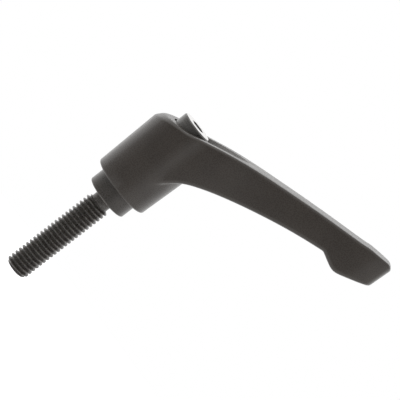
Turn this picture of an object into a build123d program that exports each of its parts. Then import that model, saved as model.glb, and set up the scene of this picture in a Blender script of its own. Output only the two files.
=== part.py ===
from build123d import *
import os
from math import cos, degrees, radians, sin, tan

# Adjustable clamping lever, size 78, with a 3/8-16 UNC stud.
# Millimetres.  +Z runs along the stud's axis, the arm points along +X, and the
# origin is on the axis, at the seat face under the collar.

# ---- stud with toothed insert -----------------------------------------------
thread_diameter = 9.525
stud_length = 40.5
stud_end_chamfer = 1.0
thread_top_chamfer = 0.7
relief_diameter = 7.2
relief_length = 3.2
relief_corner = 0.5
collar_diameter = 16.8
collar_edge = 0.5
screw_hole_diameter = 5.1
screw_hole_depth = 10.5

# ---- serrations that lock the lever to the insert ---------------------------
tooth_count = 24
tooth_tip_radius = 7.7
tooth_root_radius = 6.7
tooth_tip_angle = 2.6
tooth_root_angle = 9.4
tooth_height = 4.2
tooth_gap = 0.1
tooth_headroom = 0.6

# ---- lever ------------------------------------------------------------------
hub_bottom = 6.3
hub_bottom_radius = 11.6
hub_bottom_edge = 0.8
draft = 1.6
arm_root_inset = 1.0
arm_root_angle = 5.0
arm_blend = 14.0
under_edge = 1.5
notch_blend = 2.0
heel_blend = 1.5
rim_edge = 1.0

skirt_bore_diameter = 17.2
skirt_depth = 2.2
web_thickness = 3.4
web_hole_diameter = 6.6
recess_diameter = 14.0

# the scoop opens the recess along the arm: its diameter, its rise, and where its
# floor leaves the arm's top, as (x, z)
scoop_diameter = 13.8
scoop_angle = 42.0
scoop_end = (20.5, 46.15)

# the arm from above at the hub's foot: (x, half width) from its flared root to its end
arm_sides = [(16.0, 8.9), (26.0, 7.1), (36.0, 6.15), (70.0, 5.1)]
arm_tip = 76.6
arm_side_angle = 1.6

# the lever from the side: (x, z) along its underside, finger stop and top
under_profile = [
    (2.0, 10.0),
    (9.4, 21.5),
    (12.1, 24.9),
    (15.3, 27.5),
    (25.3, 33.5),
    (37.4, 39.6),
    (58.8, 48.5),
]
stop_profile = [(58.8, 48.5), (62.5, 47.5), (65.8, 47.05), (69.5, 48.6), (76.6, 52.7)]
top_profile = [
    (-12.9, 32.6),
    (-7.2, 35.2),
    (-1.0, 36.9),
    (4.0, 39.05),
    (14.0, 43.65),
    (34.0, 51.0),
    (56.0, 58.0),
    (66.0, 61.05),
    (75.0, 63.2),
]
nose_end = (78.4, 60.4)

# ---- retaining screw --------------------------------------------------------
head_diameter = 12.4
head_height = 8.8
head_top = 39.9
head_edge = 0.5
hex_across_flats = 5.0
hex_depth = 4.5
shoulder_diameter = 6.0
screw_thread_diameter = 5.0
screw_thread_length = 9.5

# ---- spring, its round wire as an eight-sided one ---------------------------
spring_wire = 1.1
spring_mean_radius = 5.2
spring_turns = 6.25
wire_sides = 8

# ---- heights that follow from the sizes above -------------------------------
skirt_top = hub_bottom + skirt_depth
teeth_top = skirt_top + tooth_height
web_bottom = teeth_top + tooth_headroom
web_top = web_bottom + web_thickness
head_bottom = head_top - head_height

# ---- room for the cuts and for picking edges: beyond the part on every side --
arm_low = 10.0
arm_high = 70.0
reach = 50.0
root_zone = [(1.0, -20.0, arm_low - 1), (12.0, 20.0, arm_high + 1)]
lower_zone = [(4.0, -12.0, arm_low - 1), (78.0, 12.0, 56.0)]

os.makedirs("parts", exist_ok=True)


def hub_radius(height):
    """Radius of the drafted hub at a height."""
    return hub_bottom_radius + (height - hub_bottom) * tan(radians(draft))


def turned(points):
    """A solid of revolution about the Z axis from (radius, height) points."""
    with BuildPart() as body:
        with BuildSketch(Plane.XZ):
            with BuildLine():
                Polyline(*points, close=True)
            make_face()
        revolve(axis=Axis.Z)
    return body.part


def serration_star(gap=0.0):
    """The star of the insert's teeth from above, let out by a gap for the lever's side."""
    pitch = 360 / tooth_count
    tip_radius = tooth_tip_radius + gap
    root_radius = tooth_root_radius + gap
    half_tip = tooth_tip_angle / 2 + degrees(gap / tip_radius)
    half_root = tooth_root_angle / 2 + degrees(gap / root_radius)
    corners = []
    for tooth in range(tooth_count):
        centre = tooth * pitch
        corners.append(polar(root_radius, centre - half_root))
        corners.append(polar(tip_radius, centre - half_tip))
        corners.append(polar(tip_radius, centre + half_tip))
        corners.append(polar(root_radius, centre + half_root))
    with BuildSketch() as star:
        Polygon(*corners, align=None)
    return star.sketch


def polar(radius, angle):
    """The point at a radius and an angle in degrees."""
    return (radius * cos(radians(angle)), radius * sin(radians(angle)))


def edges_within(body, low, high):
    """The edges of a body that lie wholly in a box between two corners."""

    def inside(edge):
        box = edge.bounding_box()
        above = box.min.X > low[0] and box.min.Y > low[1] and box.min.Z > low[2]
        below = box.max.X < high[0] and box.max.Y < high[1] and box.max.Z < high[2]
        return above and below

    return body.edges().filter_by(inside)


def long_upright(edge):
    """True for an edge that runs far up or down."""
    return edge.bounding_box().size.Z > 30


def off_centre(edge):
    """True for an edge that runs along one side of the arm."""
    return abs(edge.center().Y) > 1 and edge.bounding_box().size.X > 0.3


def slope(angle):
    """A unit direction at an angle in degrees."""
    return (cos(radians(angle)), sin(radians(angle)))


# ---- lever: hub, arm, web and inner serrations in one zinc casting ----------
def arm_outline(level):
    """The arm from above at one level, let out with the draft of the hub."""
    out = hub_radius(level) - hub_radius(12.0)
    root = hub_radius(level) - arm_root_inset
    with BuildSketch(Plane.XY.offset(level)) as outline:
        with BuildLine():
            near = Spline(
                (0, root),
                *[(x, half + out) for x, half in arm_sides],
                tangents=[slope(-arm_root_angle), slope(-arm_side_angle)],
            )
            tip = Spline(
                near @ 1,
                (arm_tip + out, 0),
                (arm_sides[-1][0], -arm_sides[-1][1] - out),
                tangents=[slope(-arm_side_angle), slope(180 + arm_side_angle)],
            )
            far = Spline(
                *[(x, -half - out) for x, half in reversed(arm_sides)],
                (0, -root),
                tangents=[slope(180 + arm_side_angle), slope(180 + arm_root_angle)],
            )
            Line(far @ 1, near @ 0)
        make_face()
    return outline.sketch.face()


with BuildPart() as lever:
    # arm, straight sided and drafted, with its under edge and finger stop cut in
    loft([arm_outline(arm_low), arm_outline(arm_high)], ruled=True)
    with BuildSketch(Plane.XZ.offset(-reach)):
        with BuildLine():
            under = Spline(*under_profile, tangents=[(0.5, 1.0), (1.0, 0.36)])
            stop = Spline(*stop_profile, tangents=[(1.0, -0.28), (1.0, 0.58)])
            around = [(2 * reach, stop_profile[-1][1]), (2 * reach, 0), (under_profile[0][0], 0)]
            Polyline(stop @ 1, *around, under @ 0)
        make_face()
    extrude(amount=2 * reach, mode=Mode.SUBTRACT)
    straight_edges = lever.edges().filter_by(Axis.Y)
    fillet(straight_edges.sort_by(Axis.X)[-1:], radius=heel_blend)
    straight_edges = lever.edges().filter_by(Axis.Y).filter_by(GeomType.LINE)
    notch = under_profile[-1][0]
    fillet(straight_edges.filter_by_position(Axis.X, notch - 0.5, notch + 0.5), radius=notch_blend)

    # hub, and the blends where the arm's sides leave it
    hub_wall = [(hub_bottom_radius, hub_bottom), (hub_radius(arm_high), arm_high)]
    add(turned([(0, hub_bottom), *hub_wall, (0, arm_high)]))
    fillet(edges_within(lever, *root_zone).filter_by(long_upright), radius=arm_blend)

    # the arm's lower corners and its root on the hub
    lower_edges = edges_within(lever, *lower_zone)
    fillet(lower_edges.filter_by(off_centre), radius=under_edge)

    # top edge of hub and arm
    with BuildSketch(Plane.XZ.offset(-reach)):
        with BuildLine():
            top = Spline(*top_profile, tangents=[(1.0, 0.55), (1.0, 0.2)])
            nose = TangentArc(top @ 1, nose_end, tangent=top % 1)
            around = [(2 * reach, nose_end[1]), (2 * reach, 2 * reach), (-reach, 2 * reach), (-reach, 0)]
            Polyline(nose @ 1, *around, top @ 0)
        make_face()
    extrude(amount=2 * reach, mode=Mode.SUBTRACT)
    top_face = lever.faces().filter_by(GeomType.EXTRUSION).sort_by(SortBy.AREA)[-1]
    rim = top_face.outer_wire().edges().filter_by(GeomType.LINE, reverse=True)
    fillet(rim, radius=rim_edge)

    # recess for the screw and spring, its scoop, hole in the web, skirt over the insert
    with BuildSketch(Plane.XY.offset(web_top)):
        Circle(recess_diameter / 2)
    extrude(amount=reach, mode=Mode.SUBTRACT)
    along = Vector(cos(radians(scoop_angle)), 0, sin(radians(scoop_angle)))
    across = Vector(-along.Z, 0, along.X) * (scoop_diameter / 2)
    scoop_axis = Vector(scoop_end[0], 0, scoop_end[1]) + across
    scoop_start = scoop_axis - along * (scoop_axis.X / along.X)
    with BuildSketch(Plane(origin=scoop_start, z_dir=along)):
        Circle(scoop_diameter / 2)
    extrude(amount=reach, mode=Mode.SUBTRACT)
    with BuildSketch(Plane.XY.offset(web_bottom)):
        Circle(web_hole_diameter / 2)
    extrude(amount=web_thickness, mode=Mode.SUBTRACT)
    with BuildSketch(Plane.XY.offset(hub_bottom)):
        Circle(skirt_bore_diameter / 2)
    extrude(amount=skirt_depth, mode=Mode.SUBTRACT)
    with BuildSketch(Plane.XY.offset(skirt_top)):
        add(serration_star(tooth_gap))
    extrude(amount=web_bottom - skirt_top, mode=Mode.SUBTRACT)
    hub_foot = lever.edges().filter_by(GeomType.CIRCLE).group_by(Axis.Z)[0].sort_by(SortBy.RADIUS)
    fillet(hub_foot[-1:], radius=hub_bottom_edge)

lever.part.label = "lever"
export_step(lever.part, "parts/lever.step")


# ---- toothed stud: collar, serrations, relief groove and stud in one turned piece
with BuildPart() as toothed_stud:
    thread_radius = thread_diameter / 2
    relief_radius = relief_diameter / 2
    collar_radius = collar_diameter / 2
    thread_top = -relief_length - thread_top_chamfer
    with BuildSketch(Plane.XZ):
        with BuildLine():
            Polyline(
                (0, -stud_length),
                (thread_radius - stud_end_chamfer, -stud_length),
                (thread_radius, -stud_length + stud_end_chamfer),
                (thread_radius, thread_top),
                (relief_radius, -relief_length),
                (relief_radius, 0),
                (collar_radius, 0),
                (collar_radius, skirt_top),
                (tooth_tip_radius, skirt_top),
                (tooth_tip_radius, teeth_top),
                (0, teeth_top),
                close=True,
            )
        make_face()
    revolve(axis=Axis.Z)
    seat_edges = toothed_stud.edges().filter_by(GeomType.CIRCLE).filter_by_position(Axis.Z, -0.1, 0.1)
    fillet(seat_edges.sort_by(SortBy.RADIUS)[-1:], radius=collar_edge)
    fillet(seat_edges.sort_by(SortBy.RADIUS)[:1], radius=relief_corner)
    with BuildSketch(Plane.XY.offset(skirt_top)):
        Circle(collar_radius)
        add(serration_star(), mode=Mode.SUBTRACT)
    extrude(amount=tooth_height, mode=Mode.SUBTRACT)
    with Locations((0, 0, teeth_top)):
        Hole(radius=screw_hole_diameter / 2, depth=screw_hole_depth)

toothed_stud.part.label = "toothed_stud"
export_step(toothed_stud.part, "parts/toothed_stud.step")


# ---- retaining screw: shoulder screw with a hex socket ----------------------
with BuildPart() as retaining_screw:
    with BuildSketch(Plane.XY.offset(head_bottom)):
        Circle(head_diameter / 2)
    extrude(amount=head_height)
    chamfer(retaining_screw.faces().sort_by(Axis.Z)[-1].edges(), length=head_edge)
    with BuildSketch(Plane.XY.offset(teeth_top)):
        Circle(shoulder_diameter / 2)
    extrude(amount=head_bottom - teeth_top)
    with BuildSketch(Plane.XY.offset(teeth_top - screw_thread_length)):
        Circle(screw_thread_diameter / 2)
    extrude(amount=screw_thread_length)
    with BuildSketch(Plane.XY.offset(head_top - hex_depth)):
        RegularPolygon(radius=hex_across_flats / 2, side_count=6, major_radius=False)
    extrude(amount=hex_depth, mode=Mode.SUBTRACT)

retaining_screw.part.label = "retaining_screw"
export_step(retaining_screw.part, "parts/retaining_screw.step")


# ---- compression spring between the web and the screw's head, of eight-sided wire
spring_length = head_bottom - web_top - spring_wire
with BuildPart() as compression_spring:
    with BuildLine(Plane.XY.offset(web_top + spring_wire / 2)):
        coil = Helix(pitch=spring_length / spring_turns, height=spring_length, radius=spring_mean_radius)
    with BuildSketch(Plane(origin=coil @ 0, z_dir=coil % 0)):
        RegularPolygon(radius=spring_wire / 2, side_count=wire_sides)
    sweep(path=coil, is_frenet=True)

compression_spring.part.label = "compression_spring"
export_step(compression_spring.part, "parts/compression_spring.step")
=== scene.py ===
import math

import bmesh
import bpy
from mathutils import Matrix, Vector


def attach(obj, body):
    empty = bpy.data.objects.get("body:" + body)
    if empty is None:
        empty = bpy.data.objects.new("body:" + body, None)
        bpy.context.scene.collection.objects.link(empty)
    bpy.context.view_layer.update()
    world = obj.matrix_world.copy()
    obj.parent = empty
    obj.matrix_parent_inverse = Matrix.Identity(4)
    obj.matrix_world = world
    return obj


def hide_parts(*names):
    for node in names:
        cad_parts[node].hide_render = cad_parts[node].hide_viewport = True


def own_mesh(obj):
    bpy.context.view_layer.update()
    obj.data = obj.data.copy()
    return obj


# Adjustable clamping lever: a coated lever casting, a black stud with its toothed
# insert, a coil spring and the retaining screw.  Metres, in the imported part's frame:
# +Z runs up the stud's axis, the arm points along +X.

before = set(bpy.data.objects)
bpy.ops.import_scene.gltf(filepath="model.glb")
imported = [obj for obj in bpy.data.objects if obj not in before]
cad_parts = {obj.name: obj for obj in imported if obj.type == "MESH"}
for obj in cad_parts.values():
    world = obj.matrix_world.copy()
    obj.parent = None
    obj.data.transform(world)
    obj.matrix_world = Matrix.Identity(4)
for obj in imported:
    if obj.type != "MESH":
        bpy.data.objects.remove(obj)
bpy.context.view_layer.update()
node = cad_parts

MM = 0.001
WELD = 0.002 * MM              # points of the wound thread nearer than this are one

# ---- the stud's thread, 3/8-16 UNC, right-handed ----------------------------
PITCH = 1.5875 * MM
MAJOR_RADIUS = 4.7625 * MM
MINOR_RADIUS = 3.80 * MM
SHARP_HEIGHT = 0.866           # of the uncut 60 degree profile, in pitches
CREST_CUT = 0.10825            # what the crest's flat takes off it, in pitches
ROOT_ROUNDING = 0.1 * MM
STUD_END = -40.5 * MM
END_RADIUS = 3.7625 * MM       # where the end's chamfer starts
THREAD_TOP = -3.2 * MM
NECK_RADIUS = 3.6 * MM
RUNOUT_RISE = 1.66             # radius gained per length where the thread starts
FIRST_CREST = -43.6246 * MM    # below the end, so that the helix starts before it
THREAD_TURNS = 26
ROWS_PER_PITCH = 16
THREAD_COLUMNS = 97            # round the axis, the last on top of the first
NECK_CUT = -1.4 * MM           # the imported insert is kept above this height
LOOP_MARGIN = 0.1 * MM

# ---- the spring, round wire with closed ends --------------------------------
WIRE_RADIUS = 0.55 * MM
COIL_RADIUS = 5.2 * MM
COIL_TURNS = 6.25
COIL_BOTTOM = 16.7 * MM
COIL_TOP = 31.1 * MM
COIL_STEPS = 40
WIRE_SIDES = 16
CLOSED_SHARE = 0.12            # share of the coil that lies closed at each end
CLOSED_RISE = 1.6              # rise of both closed ends together, in wire diameters

# ---- the recess and the scoop that opens it ---------------------------------
RECESS_RADIUS = 7.0 * MM
SCOOP_RADIUS = 6.9 * MM
SCOOP_RISE = math.radians(42)
SCOOP_POINT = Vector((15.883, 0, 51.278)) * MM
SCOOP_START = -21.37 * MM

# ---- the hub's upper back corner, rounded more than the rest of the rim -----
HUB_FOOT = 6.3 * MM
HUB_FOOT_RADIUS = 11.6 * MM
DRAFT = math.radians(1.6)
HUB_TOP = ((-12.9 * MM, 32.6 * MM), (-7.2 * MM, 35.2 * MM), (-1.0 * MM, 36.9 * MM))
TOP_FACES = Vector((-0.41, 0, 0.912)).normalized()    # the way the top looks
CORNER_RADIUS = 2.5 * MM       # at CORNER_BACK, and fading out to CORNER_END
CORNER_LEAST = 0.9 * MM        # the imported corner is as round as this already
CORNER_BACK = -12.0 * MM
CORNER_END = 6.0 * MM
WALL_BAND = 0.6 * MM           # points this far inside the wall belong to it
WALL_DEPTH = 25 * MM           # and no further than this below the top
TOP_BAND = 0.8 * MM            # points this far below the top belong to it
TOP_OVERHANG = 0.1 * MM        # and this far outside the wall
WALL_CUTS, WALL_STEP = 8, 0.45 * MM
TOP_CUTS_X, TOP_STEP_X = 21, 0.6 * MM
TOP_CUTS_Y, TOP_STEP_Y = 31, 0.8 * MM
TOP_CUTS_START = -12 * MM
CUT_WITHIN = 1e-7              # points this near to a cut are on it

# ---- where a finish changes: the two ends of each fade ----------------------
RISING = (0.0, 1.0)
FALLING = (1.0, 0.0)
SCOOP_FADE = (SCOOP_RADIUS + 0.05 * MM, SCOOP_RADIUS + 0.15 * MM)
SCOOP_START_FADE = (SCOOP_START - 0.1 * MM, SCOOP_START)
RECESS_FADE = (RECESS_RADIUS + 0.05 * MM, RECESS_RADIUS + 0.15 * MM)
WEB_FADE = (COIL_BOTTOM - 0.2 * MM, COIL_BOTTOM)
# painted light on the stud: the next two fades place painted highlights on the thread's crests,
# partly real wear, and a fainter painted lift over the thread's shaded grooves
CREST_HIGHLIGHT_FADE = (MAJOR_RADIUS - 0.04 * MM, MAJOR_RADIUS - 0.01 * MM)
FLANK_LIFT_TO_CREST = (0.25, 1.0)
THREAD_FADE = (-2.0 * MM, -1.0 * MM)
# painted highlight on the collar's lower rim
RIM_HIGHLIGHT_FADE = (7.85 * MM, 8.3 * MM)
FOOT_FADE = (0.05 * MM, 0.6 * MM)
FACED_TOP_FADE = (39.8 * MM, 39.88 * MM)
SOCKET_FADE = (2.95 * MM, 3.05 * MM)
HEAD_FADE = (33.0 * MM, 33.2 * MM)
SOCKET_SHARE = 0.5             # of the faced top's brightness, on the socket's walls

# ---- the parts of the noise that each mask keeps ----------------------------
SPECKLE_FADE = (0.38, 0.66)
BLOTCH_FADE = (0.34, 0.66)
STREAK_FADE = (0.35, 0.65)
RUBBING_FADE = (0.4, 0.66)
RING_WANDER = 0.02             # how much the turned rings change across the piece

# ---- colours and levels of the finishes -------------------------------------
COAT_DARK = (0.036, 0.0280, 0.0218, 1)
COAT_LIGHT = (0.044, 0.0350, 0.0276, 1)
COAT_SPECKLE = (0.048, 0.041, 0.035, 1)
SPECKLE_SHARE = 0.2
COAT_ROUGHNESS = (0.26, 0.34)
# painted light and glints: the lighter, speckled colour of the scoop and recess
LIT_SCOOP_DARK = (0.13, 0.123, 0.115, 1)
LIT_SCOOP_LIGHT = (0.26, 0.25, 0.24, 1)
FACING_UP = (0.5, 0.9)
GRAIN_ON_TOP = (1.0, 20.0)     # the grain stands out more on faces that look up
SURFACE_DEPTH = 0.03 * MM
OXIDE_STREAK = 1.6             # how much lighter the turned streaks are
OXIDE_ROUGHNESS = (-0.06, 0.08)
WEAR_AND_HIGHLIGHT_FADE = (0.0, 0.6)
OXIDE_TO_STEEL = (0.25, 0.95)  # metallic, where whole and where the mask of wear and painted highlights is full
WIRE_DARK = (0.42, 0.41, 0.40, 1)
WIRE_LIGHT = (0.55, 0.54, 0.52, 1)
WIRE_ROUGHNESS = (0.3, 0.42)
WIRE_DEPTH = 0.02 * MM

# ---- the camera -------------------------------------------------------------
LOOK_AT = Vector((20.08, 0.0, 25.19)) * MM
CAMERA_DISTANCE = 600 * MM
CAMERA_ELEVATION = math.radians(8.57)
CAMERA_ROLL = math.radians(52.55)
CAMERA_LENS = 158.9
SENSOR = 36.0
CAMERA_CLIP = (0.05, 20)

# ---- floor, room and lamps --------------------------------------------------
FLOOR_HEIGHT = -160 * MM
FLOOR_RADIUS = 0.55
FLOOR_COLOUR = (0.82, 0.82, 0.82, 1)
FLOOR_SEGMENTS = 96
FLOOR_GLOW = 0.7
WHITE = (1, 1, 1, 1)
ROOM_LEVEL = 0.41              # of the light that the room itself gives
CAMERA_SIDE = 0.37             # of the walls on the camera's side, as gloss shows them
BACK_FADE = (-0.7, 0.3)
ROOF_FADE = (0.0, 0.8)
# name, place from the object's middle, width and power: a soft key above the hub, a wide
# weak side light, a small fill by the tip, two rim lights and a panel behind
LAMPS = (
    ("key", (-0.6, -0.2, 0.6), 0.9, 1.85),
    ("side", (0.52, -0.36, -0.05), 1.1, 0.9),
    ("tip_fill", (0.17, -0.13, 0.0), 0.2, 0.045),
    ("rim_tip", (0.75, 0.5, 0.0), 0.9, 1.0),
    ("rim_hub", (-0.75, 0.5, 0.05), 0.9, 1.5),
    ("back_panel", (0.0, 0.9, 0.15), 1.2, 1.0),
)

# ---- node trees -------------------------------------------------------------
COLOUR_MIX_INPUTS = (0, 6, 7)  # the factor and the two colours
COLOUR_MIX_RESULT = 2
NODE_COLUMN, NODE_ROW = 220, 180


# ---- node helpers -----------------------------------------------------------
def place(tree, kind, **settings):
    """Adds a node; settings name its properties, and set_in feeds its inputs."""
    made = tree.nodes.new(kind)
    for name, value in settings.items():
        setattr(made, name, value)
    return made


def feed(socket, value):
    """Links another node's output into an input, or sets the input to a plain value."""
    if isinstance(value, bpy.types.NodeSocket):
        socket.id_data.links.new(value, socket)
    else:
        socket.default_value = value


def set_in(made, **values):
    """Feeds a node's inputs by name, an underscore standing for a space."""
    for name, value in values.items():
        feed(made.inputs[name.replace("_", " ")], value)
    return made


def math_node(tree, operation, *values, clamp=False):
    """The result of a Math node of one to three values or sockets."""
    made = place(tree, "ShaderNodeMath", operation=operation, use_clamp=clamp)
    for socket, value in zip(made.inputs, values):
        feed(socket, value)
    return made.outputs[0]


def calculator(tree):
    """math_node for one tree, for a function that has many sums."""
    return lambda operation, *values: math_node(tree, operation, *values)


def mix_colour(tree, factor, a, b):
    """Mixes two colours or colour sockets."""
    made = place(tree, "ShaderNodeMix", data_type="RGBA")
    for index, value in zip(COLOUR_MIX_INPUTS, (factor, a, b)):
        feed(made.inputs[index], value)
    return made.outputs[COLOUR_MIX_RESULT]


def ramp(tree, value, limits, results=RISING, smooth=True):
    """Maps a value between two limits to the range between two results, clamped."""
    kind = "SMOOTHSTEP" if smooth else "LINEAR"
    made = place(tree, "ShaderNodeMapRange", interpolation_type=kind)
    set_in(made, Value=value, From_Min=limits[0], From_Max=limits[1])
    return set_in(made, To_Min=results[0], To_Max=results[1]).outputs["Result"]


def split_xyz(tree, vector):
    """The three parts of a vector."""
    return set_in(place(tree, "ShaderNodeSeparateXYZ"), Vector=vector).outputs


def join_xyz(tree, x, y, z):
    """A vector of three values."""
    return set_in(place(tree, "ShaderNodeCombineXYZ"), X=x, Y=y, Z=z).outputs[0]


def noise(tree, vector, size, detail, roughness):
    """Noise from 0 to 1 whose features are size millimetres across."""
    scale = math_node(tree, "DIVIDE", 1 / MM, size)
    made = place(tree, "ShaderNodeTexNoise")
    set_in(made, Vector=vector, Scale=scale, Detail=detail, Roughness=roughness)
    return made.outputs["Fac"]


def radius_and_height(tree, coordinates):
    """The distance from the Z axis and the height."""
    split = split_xyz(tree, coordinates)
    squares = [math_node(tree, "MULTIPLY", split[i], split[i]) for i in (0, 1)]
    return math_node(tree, "SQRT", math_node(tree, "ADD", *squares)), split[2]


def lay_out(tree):
    """Sets each node to the left of those it feeds, so the tree can be read."""
    column = {made.name: 0 for made in tree.nodes}
    for _ in tree.nodes:
        for link in tree.links:
            here = link.from_node.name
            column[here] = max(column[here], column[link.to_node.name] + 1)
    filled = {}
    for made in tree.nodes:
        across = column[made.name]
        down = filled.get(across, 0)
        made.location = (-NODE_COLUMN * across, -NODE_ROW * down)
        filled[across] = down + 1


def empty_tree(owner):
    """The emptied node tree of a material or a world."""
    owner.use_nodes = True
    owner.node_tree.nodes.clear()
    return owner.node_tree


# ---- shared surface effects -------------------------------------------------
def new_group(name, inputs, outputs):
    """A shader group on Coordinates and inputs {name: default}, with its two end nodes."""
    tree = bpy.data.node_groups.new(name, "ShaderNodeTree")
    add = tree.interface.new_socket
    add("Coordinates", in_out="INPUT", socket_type="NodeSocketVector")
    for label, default in inputs.items():
        socket = add(label, in_out="INPUT", socket_type="NodeSocketFloat")
        socket.default_value = default
    for label in outputs:
        add(label, in_out="OUTPUT", socket_type="NodeSocketFloat")
    return tree, place(tree, "NodeGroupInput").outputs, place(tree, "NodeGroupOutput")


def use_group(tree, group, coordinates, **values):
    """The outputs of a shader group placed in a material with its own values."""
    made = place(tree, "ShaderNodeGroup", node_tree=group)
    return set_in(made, Coordinates=coordinates, **values).outputs


def grain_group():
    """Fine grain and slow blotches: a height for bump, and two masks from 0 to 1."""
    tree, given, result = new_group(
        "surface_grain", {"Grain Size": 0.4, "Blotch Size": 8.0}, ["Height", "Speckle", "Blotch"]
    )
    where = given["Coordinates"]
    fine = noise(tree, where, given["Grain Size"], detail=3.0, roughness=0.6)
    slow = noise(tree, where, given["Blotch Size"], detail=4.0, roughness=0.6)
    cells = place(tree, "ShaderNodeTexVoronoi", feature="SMOOTH_F1")
    cell_scale = math_node(tree, "DIVIDE", 1 / MM, given["Grain Size"])
    set_in(cells, Vector=where, Scale=cell_scale, Smoothness=0.6)
    height = math_node(tree, "SUBTRACT", fine, cells.outputs["Distance"])
    speckle = ramp(tree, fine, SPECKLE_FADE)
    blotch = ramp(tree, slow, BLOTCH_FADE)
    set_in(result, Height=height, Speckle=speckle, Blotch=blotch)
    lay_out(tree)
    return tree


def turned_group():
    """Fine rings left by turning round the Z axis: a height and a mask from 0 to 1."""
    tree, given, result = new_group("turned_rings", {"Ring Size": 0.25}, ["Height", "Streak"])
    radius, height = radius_and_height(tree, given["Coordinates"])
    across = split_xyz(tree, given["Coordinates"])[0]
    wander = math_node(tree, "MULTIPLY", across, RING_WANDER)
    along = join_xyz(tree, radius, height, wander)
    rings = noise(tree, along, given["Ring Size"], detail=3.0, roughness=0.55)
    set_in(result, Height=rings, Streak=ramp(tree, rings, STREAK_FADE))
    lay_out(tree)
    return tree


def wear_and_highlight_group():
    """Breaks an edge mask up with noise, as handling rubs a finish off its high spots; on the
    stud the mask also carries painted highlights and painted light.
    """
    tree, given, result = new_group(
        "edge_wear_and_highlight", {"Edge": 0.0, "Amount": 0.6, "Patch Size": 1.2, "Left Whole": 0.15}, ["Wear"]
    )
    rubbing = noise(tree, given["Coordinates"], given["Patch Size"], detail=4.0, roughness=0.65)
    patch = ramp(tree, rubbing, RUBBING_FADE, (given["Left Whole"], 1.0))
    broken = math_node(tree, "MULTIPLY", given["Edge"], patch)
    set_in(result, Wear=math_node(tree, "MULTIPLY", broken, given["Amount"], clamp=True))
    lay_out(tree)
    return tree


GRAIN = grain_group()
TURNED = turned_group()
WEAR_AND_HIGHLIGHT = wear_and_highlight_group()


# ---- materials --------------------------------------------------------------
def new_material(name):
    """A material with a Principled shader: itself, its tree, shader and coordinates."""
    made = bpy.data.materials.new(name)
    tree = empty_tree(made)
    shader = place(tree, "ShaderNodeBsdfPrincipled")
    set_in(place(tree, "ShaderNodeOutputMaterial"), Surface=shader.outputs[0])
    return made, tree, shader, place(tree, "ShaderNodeTexCoord").outputs["Object"]


def bump(tree, height, strength, depth):
    """A normal bent by a height."""
    made = place(tree, "ShaderNodeBump")
    return set_in(made, Height=height, Strength=strength, Distance=depth).outputs[0]


def inside_scoop(tree, coordinates):
    """A mask of the scoop and the recess, which get a lighter, speckled colour as painted light
    and glints.
    """
    turned = place(tree, "ShaderNodeMapping", vector_type="TEXTURE")
    lean = math.radians(90) - SCOOP_RISE
    set_in(turned, Vector=coordinates, Location=SCOOP_POINT, Rotation=(0, lean, 0))
    from_scoop, along = radius_and_height(tree, turned.outputs[0])
    from_axis, height = radius_and_height(tree, coordinates)
    near_scoop = ramp(tree, from_scoop, SCOOP_FADE, FALLING)
    past_start = ramp(tree, along, SCOOP_START_FADE)
    in_scoop = math_node(tree, "MULTIPLY", near_scoop, past_start)
    in_recess = ramp(tree, from_axis, RECESS_FADE, FALLING)
    either = math_node(tree, "MAXIMUM", in_scoop, in_recess)
    return math_node(tree, "MULTIPLY", either, ramp(tree, height, WEB_FADE))


def lever_material():
    """Satin powder coat, near black and slightly warm, with a fine grain; the scoop and recess
    are painted lighter and speckled, as painted light and glints.
    """
    made, tree, shader, coordinates = new_material("lever_coating")
    grain = use_group(tree, GRAIN, coordinates, Grain_Size=0.42, Blotch_Size=9.0)
    plain = mix_colour(tree, grain["Blotch"], COAT_DARK, COAT_LIGHT)
    speckle = math_node(tree, "MULTIPLY", grain["Speckle"], SPECKLE_SHARE)
    coat = mix_colour(tree, speckle, plain, COAT_SPECKLE)
    # painted light and glints: a lighter, speckled colour in the scoop and recess
    lit_scoop = mix_colour(tree, grain["Speckle"], LIT_SCOOP_DARK, LIT_SCOOP_LIGHT)
    colour = mix_colour(tree, inside_scoop(tree, coordinates), coat, lit_scoop)
    roughness = ramp(tree, grain["Speckle"], RISING, COAT_ROUGHNESS)
    facing = split_xyz(tree, place(tree, "ShaderNodeTexCoord").outputs["Normal"])
    stands_out = ramp(tree, facing[2], FACING_UP, GRAIN_ON_TOP)
    height = math_node(tree, "MULTIPLY", grain["Height"], stands_out)
    normal = bump(tree, height, strength=0.085, depth=SURFACE_DEPTH)
    set_in(shader, Base_Color=colour, Roughness=roughness, Normal=normal, IOR=1.5)
    lay_out(tree)
    return made


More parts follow.
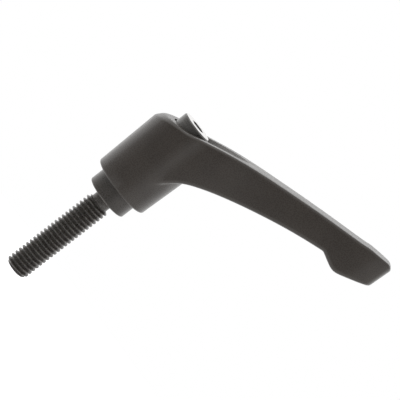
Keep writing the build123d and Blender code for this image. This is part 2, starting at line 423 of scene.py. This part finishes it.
def black_steel(name, dark, bright, edge, roughness, wear_and_highlight_amount, left_whole):
    """Black-oxide steel with turned rings; edge(tree, coordinates) gives its bright places."""
    made, tree, shader, coordinates = new_material(name)
    grain = use_group(tree, GRAIN, coordinates, Grain_Size=0.25, Blotch_Size=3.0)
    rings = use_group(tree, TURNED, coordinates, Ring_Size=0.22)
    # the broken edge mask: the bare faced top on the screw; on the stud, painted highlights that
    # are partly real wear, and painted light in the thread's grooves
    wear_and_highlight = use_group(
        tree, WEAR_AND_HIGHLIGHT, coordinates, Edge=edge(tree, coordinates), Amount=wear_and_highlight_amount,
        Patch_Size=0.8, Left_Whole=left_whole,
    )["Wear"]
    streak = tuple(OXIDE_STREAK * part for part in dark[:3]) + (1,)
    streaked = mix_colour(tree, rings["Streak"], dark, streak)
    mottled = mix_colour(tree, grain["Blotch"], streaked, dark)
    colour = mix_colour(tree, wear_and_highlight, mottled, bright)
    smoother, rougher = (roughness + change for change in OXIDE_ROUGHNESS)
    rough = ramp(tree, grain["Speckle"], RISING, (smoother, rougher))
    metallic = ramp(tree, wear_and_highlight, WEAR_AND_HIGHLIGHT_FADE, OXIDE_TO_STEEL)
    normal = bump(tree, rings["Height"], strength=0.15, depth=SURFACE_DEPTH)
    set_in(shader, Base_Color=colour, Roughness=rough, Metallic=metallic, Normal=normal, IOR=1.6)
    lay_out(tree)
    return made


def stud_highlights_and_wear(tree, coordinates):
    """Painted light on the stud: highlights on the thread's crests, partly real wear, a fainter
    lift of the shaded flanks and roots, and a highlight on the collar's lower rim.
    """
    radius, height = radius_and_height(tree, coordinates)
    # painted highlights on the crests, partly real wear, and a fainter painted lift on the flanks
    # and roots against their shade
    crest = ramp(tree, radius, CREST_HIGHLIGHT_FADE, FLANK_LIFT_TO_CREST)
    crests = math_node(tree, "MULTIPLY", crest, ramp(tree, height, THREAD_FADE, FALLING))
    # a painted highlight on the collar's lower rim
    rim = ramp(tree, radius, RIM_HIGHLIGHT_FADE)
    rims = math_node(tree, "MULTIPLY", rim, ramp(tree, height, FOOT_FADE, FALLING))
    return math_node(tree, "MAXIMUM", crests, rims)


def stud_material():
    """The stud's black-oxide steel, with painted highlights, partly real wear, on its crests and
    collar rim, and painted light in the thread's grooves.
    """
    return black_steel(
        # bright is the colour of the painted highlights, partly real wear, on the crests and
        # collar rim
        "stud_steel", dark=(0.032, 0.0268, 0.0225, 1), bright=(0.50, 0.48, 0.45, 1),
        edge=stud_highlights_and_wear, roughness=0.32, wear_and_highlight_amount=0.45, left_whole=0.1,
    )


def screw_edge(tree, coordinates):
    """The head's faced top and, fainter, the walls of its hex socket."""
    radius, height = radius_and_height(tree, coordinates)
    faced_top = ramp(tree, height, FACED_TOP_FADE)
    socket = ramp(tree, radius, SOCKET_FADE, FALLING)
    walls = math_node(tree, "MULTIPLY", socket, ramp(tree, height, HEAD_FADE))
    dulled = math_node(tree, "MULTIPLY", walls, SOCKET_SHARE)
    return math_node(tree, "MAXIMUM", faced_top, dulled)


def screw_material():
    """The screw's black-oxide steel, bare on the faced top of its head."""
    return black_steel(
        "screw_steel", dark=(0.078, 0.074, 0.069, 1), bright=(0.72, 0.71, 0.70, 1),
        edge=screw_edge, roughness=0.26, wear_and_highlight_amount=1.0, left_whole=0.85,
    )


def spring_material():
    """Drawn spring wire, satin and slightly mottled."""
    made, tree, shader, coordinates = new_material("spring_steel")
    grain = use_group(tree, GRAIN, coordinates, Grain_Size=0.12, Blotch_Size=1.5)
    colour = mix_colour(tree, grain["Blotch"], WIRE_DARK, WIRE_LIGHT)
    roughness = ramp(tree, grain["Speckle"], RISING, WIRE_ROUGHNESS)
    normal = bump(tree, grain["Height"], strength=0.2, depth=WIRE_DEPTH)
    set_in(shader, Base_Color=colour, Roughness=roughness, Normal=normal, Metallic=1.0)
    lay_out(tree)
    return made


# ---- mesh helpers -----------------------------------------------------------
def merged_copy(name, source):
    """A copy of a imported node's mesh with its triangles joined."""
    mesh = source.data.copy()
    mesh.name = name
    shape = bmesh.new()
    shape.from_mesh(mesh)
    bmesh.ops.remove_doubles(shape, verts=shape.verts, dist=WELD / 2)
    shape.to_mesh(mesh)
    shape.free()
    return mesh


def show(name, mesh, material, sharp_angle):
    """Puts a mesh in the scene as one piece, smooth but for edges past the sharp angle."""
    mesh.materials.clear()
    mesh.materials.append(material)
    for attribute in ("custom_normal", "sharp_edge", "sharp_face"):
        if attribute in mesh.attributes:
            mesh.attributes.remove(mesh.attributes[attribute])
    mesh.shade_smooth()
    mesh.set_sharp_from_angle(angle=math.radians(sharp_angle))
    made = bpy.data.objects.new(name, mesh)
    bpy.context.scene.collection.objects.link(made)
    return made


def new_shape_tree(name, inputs):
    """A geometry tree with inputs {name: default} and Material, and its two end nodes."""
    tree = bpy.data.node_groups.new(name, "GeometryNodeTree")
    add = tree.interface.new_socket
    kinds = {int: "NodeSocketInt", float: "NodeSocketFloat"}
    for label, default in inputs.items():
        socket = add(label, in_out="INPUT", socket_type=kinds[type(default)])
        socket.default_value = default
    add("Material", in_out="INPUT", socket_type="NodeSocketMaterial")
    add("Geometry", in_out="OUTPUT", socket_type="NodeSocketGeometry")
    return tree, place(tree, "NodeGroupInput").outputs, place(tree, "NodeGroupOutput")


def finish_tree(tree, geometry, material, result):
    """Realize Instances and Set Material, the last two nodes of each geometry tree."""
    real = set_in(place(tree, "GeometryNodeRealizeInstances"), Geometry=geometry)
    paint = place(tree, "GeometryNodeSetMaterial")
    set_in(paint, Geometry=real.outputs[0], Material=material)
    set_in(result, Geometry=paint.outputs[0])
    lay_out(tree)


def run_tree(tree, material):
    """The plain mesh that a geometry tree gives with its named sizes and a material."""
    holder = bpy.data.objects.new(tree.name, bpy.data.meshes.new(tree.name))
    bpy.context.scene.collection.objects.link(holder)
    modifier = holder.modifiers.new(tree.name, "NODES")
    modifier.node_group = tree
    for item in tree.interface.items_tree:
        if item.in_out == "INPUT" and item.name == "Material":
            modifier[item.identifier] = material
    bpy.context.view_layer.update()
    graph = bpy.context.evaluated_depsgraph_get()
    mesh = bpy.data.meshes.new_from_object(holder.evaluated_get(graph))
    bpy.data.objects.remove(holder)
    return mesh


def open_edges(shape, low, high):
    """The open edges whose ends both lie between two heights."""
    open_ones = [edge for edge in shape.edges if edge.is_boundary]
    return [edge for edge in open_ones if all(low < end.co.z < high for end in edge.verts)]


# ---- the stud ---------------------------------------------------------------
def thread_radius(calc, given, level, height):
    """The thread's profile at a level in pitches: a 60 degree flank between crest and
    root, cut back by the cones at the stud's end and at the neck."""
    from_middle = calc("ABSOLUTE", calc("SUBTRACT", calc("FRACT", level), 0.5))
    from_crest = calc("SUBTRACT", 0.5, from_middle)
    fall = calc("MULTIPLY", from_crest, 2 * SHARP_HEIGHT)
    drop = calc("MULTIPLY", calc("SUBTRACT", fall, CREST_CUT), given["Pitch"])
    flank = calc("SUBTRACT", given["Major Radius"], drop)
    crest = calc("MINIMUM", flank, given["Major Radius"])
    profile = calc("SMOOTH_MAX", crest, given["Minor Radius"], ROOT_ROUNDING)
    from_end = calc("SUBTRACT", height, given["Bottom"])
    end_cone = calc("ADD", from_end, given["Bottom Radius"])
    from_top = calc("SUBTRACT", given["Top"], height)
    top_cone = calc("ADD", calc("MULTIPLY", from_top, RUNOUT_RISE), given["Top Radius"])
    return calc("MINIMUM", profile, calc("MINIMUM", end_cone, top_cone))


def thread_tree():
    """A grid wound round the axis: each row runs along the helix at one depth of the
    thread's profile, and rows past either end fold on to the end's ring."""
    tree, given, result = new_shape_tree("wound_thread", {
        "Pitch": PITCH, "Major Radius": MAJOR_RADIUS, "Minor Radius": MINOR_RADIUS,
        "Bottom": STUD_END, "Bottom Radius": END_RADIUS, "Top": THREAD_TOP,
        "Top Radius": NECK_RADIUS, "First Crest": FIRST_CREST, "Turns": THREAD_TURNS,
        "Rows per Pitch": ROWS_PER_PITCH, "Columns": THREAD_COLUMNS,
    })
    calc = calculator(tree)
    rows = calc("MULTIPLY", given["Turns"], given["Rows per Pitch"])
    steps = calc("SUBTRACT", given["Columns"], 1.0)
    grid = set_in(place(tree, "GeometryNodeMeshGrid"), Size_X=1.0, Size_Y=1.0)
    set_in(grid, Vertices_X=given["Columns"], Vertices_Y=calc("ADD", rows, 1.0))

    # which column and row of the grid a point is on, as turns round and pitches up
    spot = split_xyz(tree, place(tree, "GeometryNodeInputPosition").outputs[0])
    across, up = (calc("ADD", spot[i], 0.5) for i in (0, 1))
    turn = calc("DIVIDE", calc("ROUND", calc("MULTIPLY", across, steps)), steps)
    level = calc("DIVIDE", calc("ROUND", calc("MULTIPLY", up, rows)), given["Rows per Pitch"])

    # height along the axis, held between the stud's end and the neck
    wound = calc("MULTIPLY", calc("ADD", level, turn), given["Pitch"])
    free_height = calc("ADD", wound, given["First Crest"])
    above_end = calc("MAXIMUM", free_height, given["Bottom"])
    height = calc("MINIMUM", above_end, given["Top"])

    radius = thread_radius(calc, given, level, height)
    angle = calc("MULTIPLY", turn, 2 * math.pi)
    x, y = (calc("MULTIPLY", calc(side, angle), radius) for side in ("COSINE", "SINE"))
    moved = place(tree, "GeometryNodeSetPosition")
    set_in(moved, Geometry=grid.outputs["Mesh"], Position=join_xyz(tree, x, y, height))
    welded = place(tree, "GeometryNodeMergeByDistance")
    set_in(welded, Geometry=moved.outputs[0], Distance=WELD)
    finish_tree(tree, welded.outputs[0], given["Material"], result)
    return tree


def make_stud(material):
    """The insert and collar as packed, with the threaded shank joined on at the neck."""
    mesh = merged_copy("threaded_stud", node["toothed_stud"])
    shape = bmesh.new()
    shape.from_mesh(mesh)
    everything = [*shape.verts, *shape.edges, *shape.faces]
    bmesh.ops.bisect_plane(
        shape, geom=everything, plane_co=(0, 0, NECK_CUT), plane_no=(0, 0, -1), clear_outer=True
    )
    shape.from_mesh(run_tree(thread_tree(), material))
    end_ring = open_edges(shape, STUD_END - LOOP_MARGIN, STUD_END + LOOP_MARGIN)
    bmesh.ops.contextual_create(shape, geom=end_ring)
    neck_rings = open_edges(shape, THREAD_TOP - LOOP_MARGIN, NECK_CUT + LOOP_MARGIN)
    bmesh.ops.bridge_loops(shape, edges=neck_rings)
    bmesh.ops.recalc_face_normals(shape, faces=shape.faces)
    shape.to_mesh(mesh)
    shape.free()
    made = show("threaded_stud", mesh, material, sharp_angle=32)
    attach(made, "stud_and_screw")
    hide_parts("toothed_stud")
    return made


# ---- the lever --------------------------------------------------------------
def hub_top_height(x):
    """Height of the hub's sloping top at x, through the three points of HUB_TOP."""
    height = 0.0
    for here, level in HUB_TOP:
        weight = 1.0
        for other, _ in HUB_TOP:
            if other != here:
                weight *= (x - other) / (here - other)
        height += weight * level
    return height


def corner_place(point):
    """How deep a point lies below the hub's top and how far inside its wall."""
    wall = HUB_FOOT_RADIUS + (point.z - HUB_FOOT) * math.tan(DRAFT)
    return hub_top_height(point.x) - point.z, wall - math.hypot(point.x, point.y)


def on_hub_wall(point):
    """Whether a point lies on the back half of the hub's wall."""
    depth, inset = corner_place(point)
    return point.x < 0 and inset < WALL_BAND and depth < WALL_DEPTH


def on_hub_top(point):
    """Whether a point lies on the back half of the hub's top."""
    depth, inset = corner_place(point)
    return point.x < 0 and depth < TOP_BAND and inset > -TOP_OVERHANG


def corner_radius(x):
    """The corner's radius at x: largest at the back, nothing from CORNER_END on."""
    share = (CORNER_END - x) / (CORNER_END - CORNER_BACK)
    return CORNER_RADIUS * min(1.0, max(0.0, share))


def cut_rows(shape, wanted, direction, start, step, count):
    """Cuts the wanted faces into rows across a direction, for a finer mesh there."""
    for row in range(count):
        faces = [face for face in shape.faces if wanted(face.calc_center_median())]
        edges = dict.fromkeys(edge for face in faces for edge in face.edges)
        corners = dict.fromkeys(corner for face in faces for corner in face.verts)
        bmesh.ops.bisect_plane(
            shape, geom=[*corners, *edges, *faces], dist=CUT_WITHIN,
            plane_co=direction * (start + step * row), plane_no=direction,
        )


def round_hub_corner(mesh):
    """Rounds the hub's upper back corner by drawing its points in to a larger radius."""
    shape = bmesh.new()
    shape.from_mesh(mesh)
    middle = Vector((HUB_TOP[1][0], 0, HUB_TOP[1][1])).dot(TOP_FACES)
    first_row = middle - (CORNER_RADIUS + WALL_BAND)
    along_x, along_y = Vector((1, 0, 0)), Vector((0, 1, 0))
    cut_rows(shape, on_hub_wall, TOP_FACES, first_row, WALL_STEP, WALL_CUTS)
    cut_rows(shape, on_hub_top, along_x, TOP_CUTS_START, TOP_STEP_X, TOP_CUTS_X)
    cut_rows(shape, on_hub_top, along_y, TOP_CUTS_START, TOP_STEP_Y, TOP_CUTS_Y)
    for corner in shape.verts:
        radius = corner_radius(corner.co.x)
        depth, inset = corner_place(corner.co)
        if radius < CORNER_LEAST or not (depth < radius and inset < radius):
            continue
        from_centre = math.hypot(radius - depth, radius - inset)
        if from_centre > radius:
            drawn_in = 1 - radius / from_centre
            outward = Vector((corner.co.x, corner.co.y, 0)).normalized()
            corner.co -= outward * (radius - inset) * drawn_in
            corner.co.z -= (radius - depth) * drawn_in
    bmesh.ops.triangulate(shape, faces=[face for face in shape.faces if len(face.verts) > 4])
    shape.to_mesh(mesh)
    shape.free()
    return mesh


def make_lever(material):
    """The lever casting, its facets smoothed and the hub's back corner rounded."""
    mesh = round_hub_corner(merged_copy("lever_casting", node["lever"]))
    made = show("lever_casting", mesh, material, sharp_angle=28)
    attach(made, "lever")
    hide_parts("lever")
    return made


# ---- the screw and the spring -----------------------------------------------
def make_screw(material):
    """The retaining screw, its facets smoothed."""
    mesh = merged_copy("socket_screw", node["retaining_screw"])
    made = show("socket_screw", mesh, material, sharp_angle=28)
    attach(made, "stud_and_screw")
    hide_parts("retaining_screw")
    return made


def spring_tree():
    """Round wire on a coil whose two end turns lie closed against their neighbours."""
    tree, given, result = new_shape_tree("coil_spring", {
        "Wire Radius": WIRE_RADIUS, "Coil Radius": COIL_RADIUS, "Turns": COIL_TURNS,
        "Bottom": COIL_BOTTOM, "Top": COIL_TOP,
    })
    calc = calculator(tree)
    coil = set_in(place(tree, "GeometryNodeCurveSpiral"), Resolution=COIL_STEPS, Height=1.0)
    across = given["Coil Radius"]
    set_in(coil, Rotations=given["Turns"], Start_Radius=across, End_Radius=across)

    # the coil's height, slow at both ends and even between them
    spot = split_xyz(tree, place(tree, "GeometryNodeInputPosition").outputs[0])
    opened = ramp(tree, spot[2], (CLOSED_SHARE, 1 - CLOSED_SHARE), smooth=False)
    wire = calc("MULTIPLY", given["Wire Radius"], 2.0)
    low = calc("ADD", given["Bottom"], given["Wire Radius"])
    high = calc("SUBTRACT", given["Top"], given["Wire Radius"])
    closed_span = calc("MULTIPLY", wire, CLOSED_RISE)
    open_span = calc("SUBTRACT", calc("SUBTRACT", high, low), closed_span)
    open_rise = calc("MULTIPLY", opened, open_span)
    closed_rise = calc("MULTIPLY", spot[2], closed_span)
    height = calc("ADD", calc("ADD", open_rise, closed_rise), low)

    moved = place(tree, "GeometryNodeSetPosition")
    set_in(moved, Geometry=coil.outputs[0], Position=join_xyz(tree, spot[0], spot[1], height))
    ring = place(tree, "GeometryNodeCurvePrimitiveCircle")
    set_in(ring, Resolution=WIRE_SIDES, Radius=given["Wire Radius"])
    tube = set_in(place(tree, "GeometryNodeCurveToMesh"), Fill_Caps=True)
    set_in(tube, Curve=moved.outputs[0], Profile_Curve=ring.outputs[0])
    finish_tree(tree, tube.outputs[0], given["Material"], result)
    return tree


def make_spring(material):
    """The coil spring, pressed against the screw's head when the lever is lifted."""
    mesh = run_tree(spring_tree(), material)
    made = show("coil_spring", mesh, material, sharp_angle=40)
    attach(made, "spring")
    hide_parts("compression_spring")
    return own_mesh(made)


# ---- floor, world, lamps and camera -----------------------------------------
def floor_material():
    """Matt and pale, glowing to the camera and in reflections so that it joins the room."""
    made = bpy.data.materials.new("studio_floor")
    tree = empty_tree(made)
    matt = set_in(place(tree, "ShaderNodeBsdfDiffuse"), Color=FLOOR_COLOUR)
    path = place(tree, "ShaderNodeLightPath").outputs
    seen = math_node(tree, "MAXIMUM", path["Is Camera Ray"], path["Is Glossy Ray"])
    seen = math_node(tree, "MAXIMUM", seen, path["Is Transmission Ray"])
    strength = math_node(tree, "MULTIPLY", seen, FLOOR_GLOW)
    glow = set_in(place(tree, "ShaderNodeEmission"), Strength=strength)
    both = place(tree, "ShaderNodeAddShader")
    for socket, part in zip(both.inputs, (matt, glow)):
        feed(socket, part.outputs[0])
    set_in(place(tree, "ShaderNodeOutputMaterial"), Surface=both.outputs[0])
    lay_out(tree)
    return made


def make_floor():
    """A round pale floor well below, which still takes the object's shadow."""
    mesh = bpy.data.meshes.new("studio_floor")
    shape = bmesh.new()
    bmesh.ops.create_circle(shape, cap_ends=True, segments=FLOOR_SEGMENTS, radius=FLOOR_RADIUS)
    bmesh.ops.translate(shape, verts=shape.verts, vec=(LOOK_AT.x, 0, FLOOR_HEIGHT))
    shape.to_mesh(mesh)
    shape.free()
    mesh.materials.append(floor_material())
    floor = bpy.data.objects.new("studio_floor", mesh)
    bpy.context.scene.collection.objects.link(floor)


def make_world():
    """An even room whose white walls show to the camera and in gloss, and in gloss are
    dimmer low down on the camera's side."""
    world = bpy.data.worlds.new("studio")
    bpy.context.scene.world = world
    tree = empty_tree(world)
    calc = calculator(tree)
    way = split_xyz(tree, place(tree, "ShaderNodeTexCoord").outputs["Generated"])
    behind = ramp(tree, way[1], BACK_FADE, (CAMERA_SIDE, 1.0), smooth=False)
    above = ramp(tree, way[2], ROOF_FADE, (CAMERA_SIDE, 1.0), smooth=False)
    wall = calc("MAXIMUM", behind, above)
    path = place(tree, "ShaderNodeLightPath").outputs
    in_gloss = calc("MULTIPLY", calc("SUBTRACT", wall, ROOM_LEVEL), path["Is Glossy Ray"])
    room = calc("ADD", in_gloss, ROOM_LEVEL)
    seen = calc("MAXIMUM", path["Is Camera Ray"], path["Is Transmission Ray"])
    walls = place(tree, "ShaderNodeBackground")
    set_in(walls, Color=WHITE, Strength=calc("MAXIMUM", seen, room))
    set_in(place(tree, "ShaderNodeOutputWorld"), Surface=walls.outputs[0])
    lay_out(tree)


def area_lamp(name, at, size, energy):
    """A square soft box that faces the object."""
    light = bpy.data.lights.new(name, "AREA")
    light.shape = "SQUARE"
    light.size = size
    light.energy = energy
    made = bpy.data.objects.new(name, light)
    made.location = LOOK_AT + Vector(at)
    made.rotation_euler = (-Vector(at)).to_track_quat("-Z", "Y").to_euler()
    made.visible_camera = False
    bpy.context.scene.collection.objects.link(made)


def make_camera():
    """A long lens that looks at the part from its side, rolled along the arm."""
    back = Vector((0, -math.cos(CAMERA_ELEVATION), math.sin(CAMERA_ELEVATION)))
    level_up = Vector((0, math.sin(CAMERA_ELEVATION), math.cos(CAMERA_ELEVATION)))
    level_right = Vector((1, 0, 0))
    cosine, sine = math.cos(CAMERA_ROLL), math.sin(CAMERA_ROLL)
    right = cosine * level_right + sine * level_up
    up = -sine * level_right + cosine * level_up
    lens = bpy.data.cameras.new("studio_camera")
    lens.lens = CAMERA_LENS
    lens.sensor_width = SENSOR
    lens.clip_start, lens.clip_end = CAMERA_CLIP
    camera = bpy.data.objects.new("studio_camera", lens)
    turned = Matrix((right, up, back)).transposed().to_4x4()
    turned.translation = LOOK_AT + CAMERA_DISTANCE * back
    camera.matrix_world = turned
    bpy.context.scene.collection.objects.link(camera)
    bpy.context.scene.camera = camera


make_camera()
make_world()
make_floor()
for lamp in LAMPS:
    area_lamp(*lamp)
make_lever(lever_material())
make_stud(stud_material())
make_screw(screw_material())
make_spring(spring_material())
bpy.context.scene.view_settings.view_transform = "Standard"
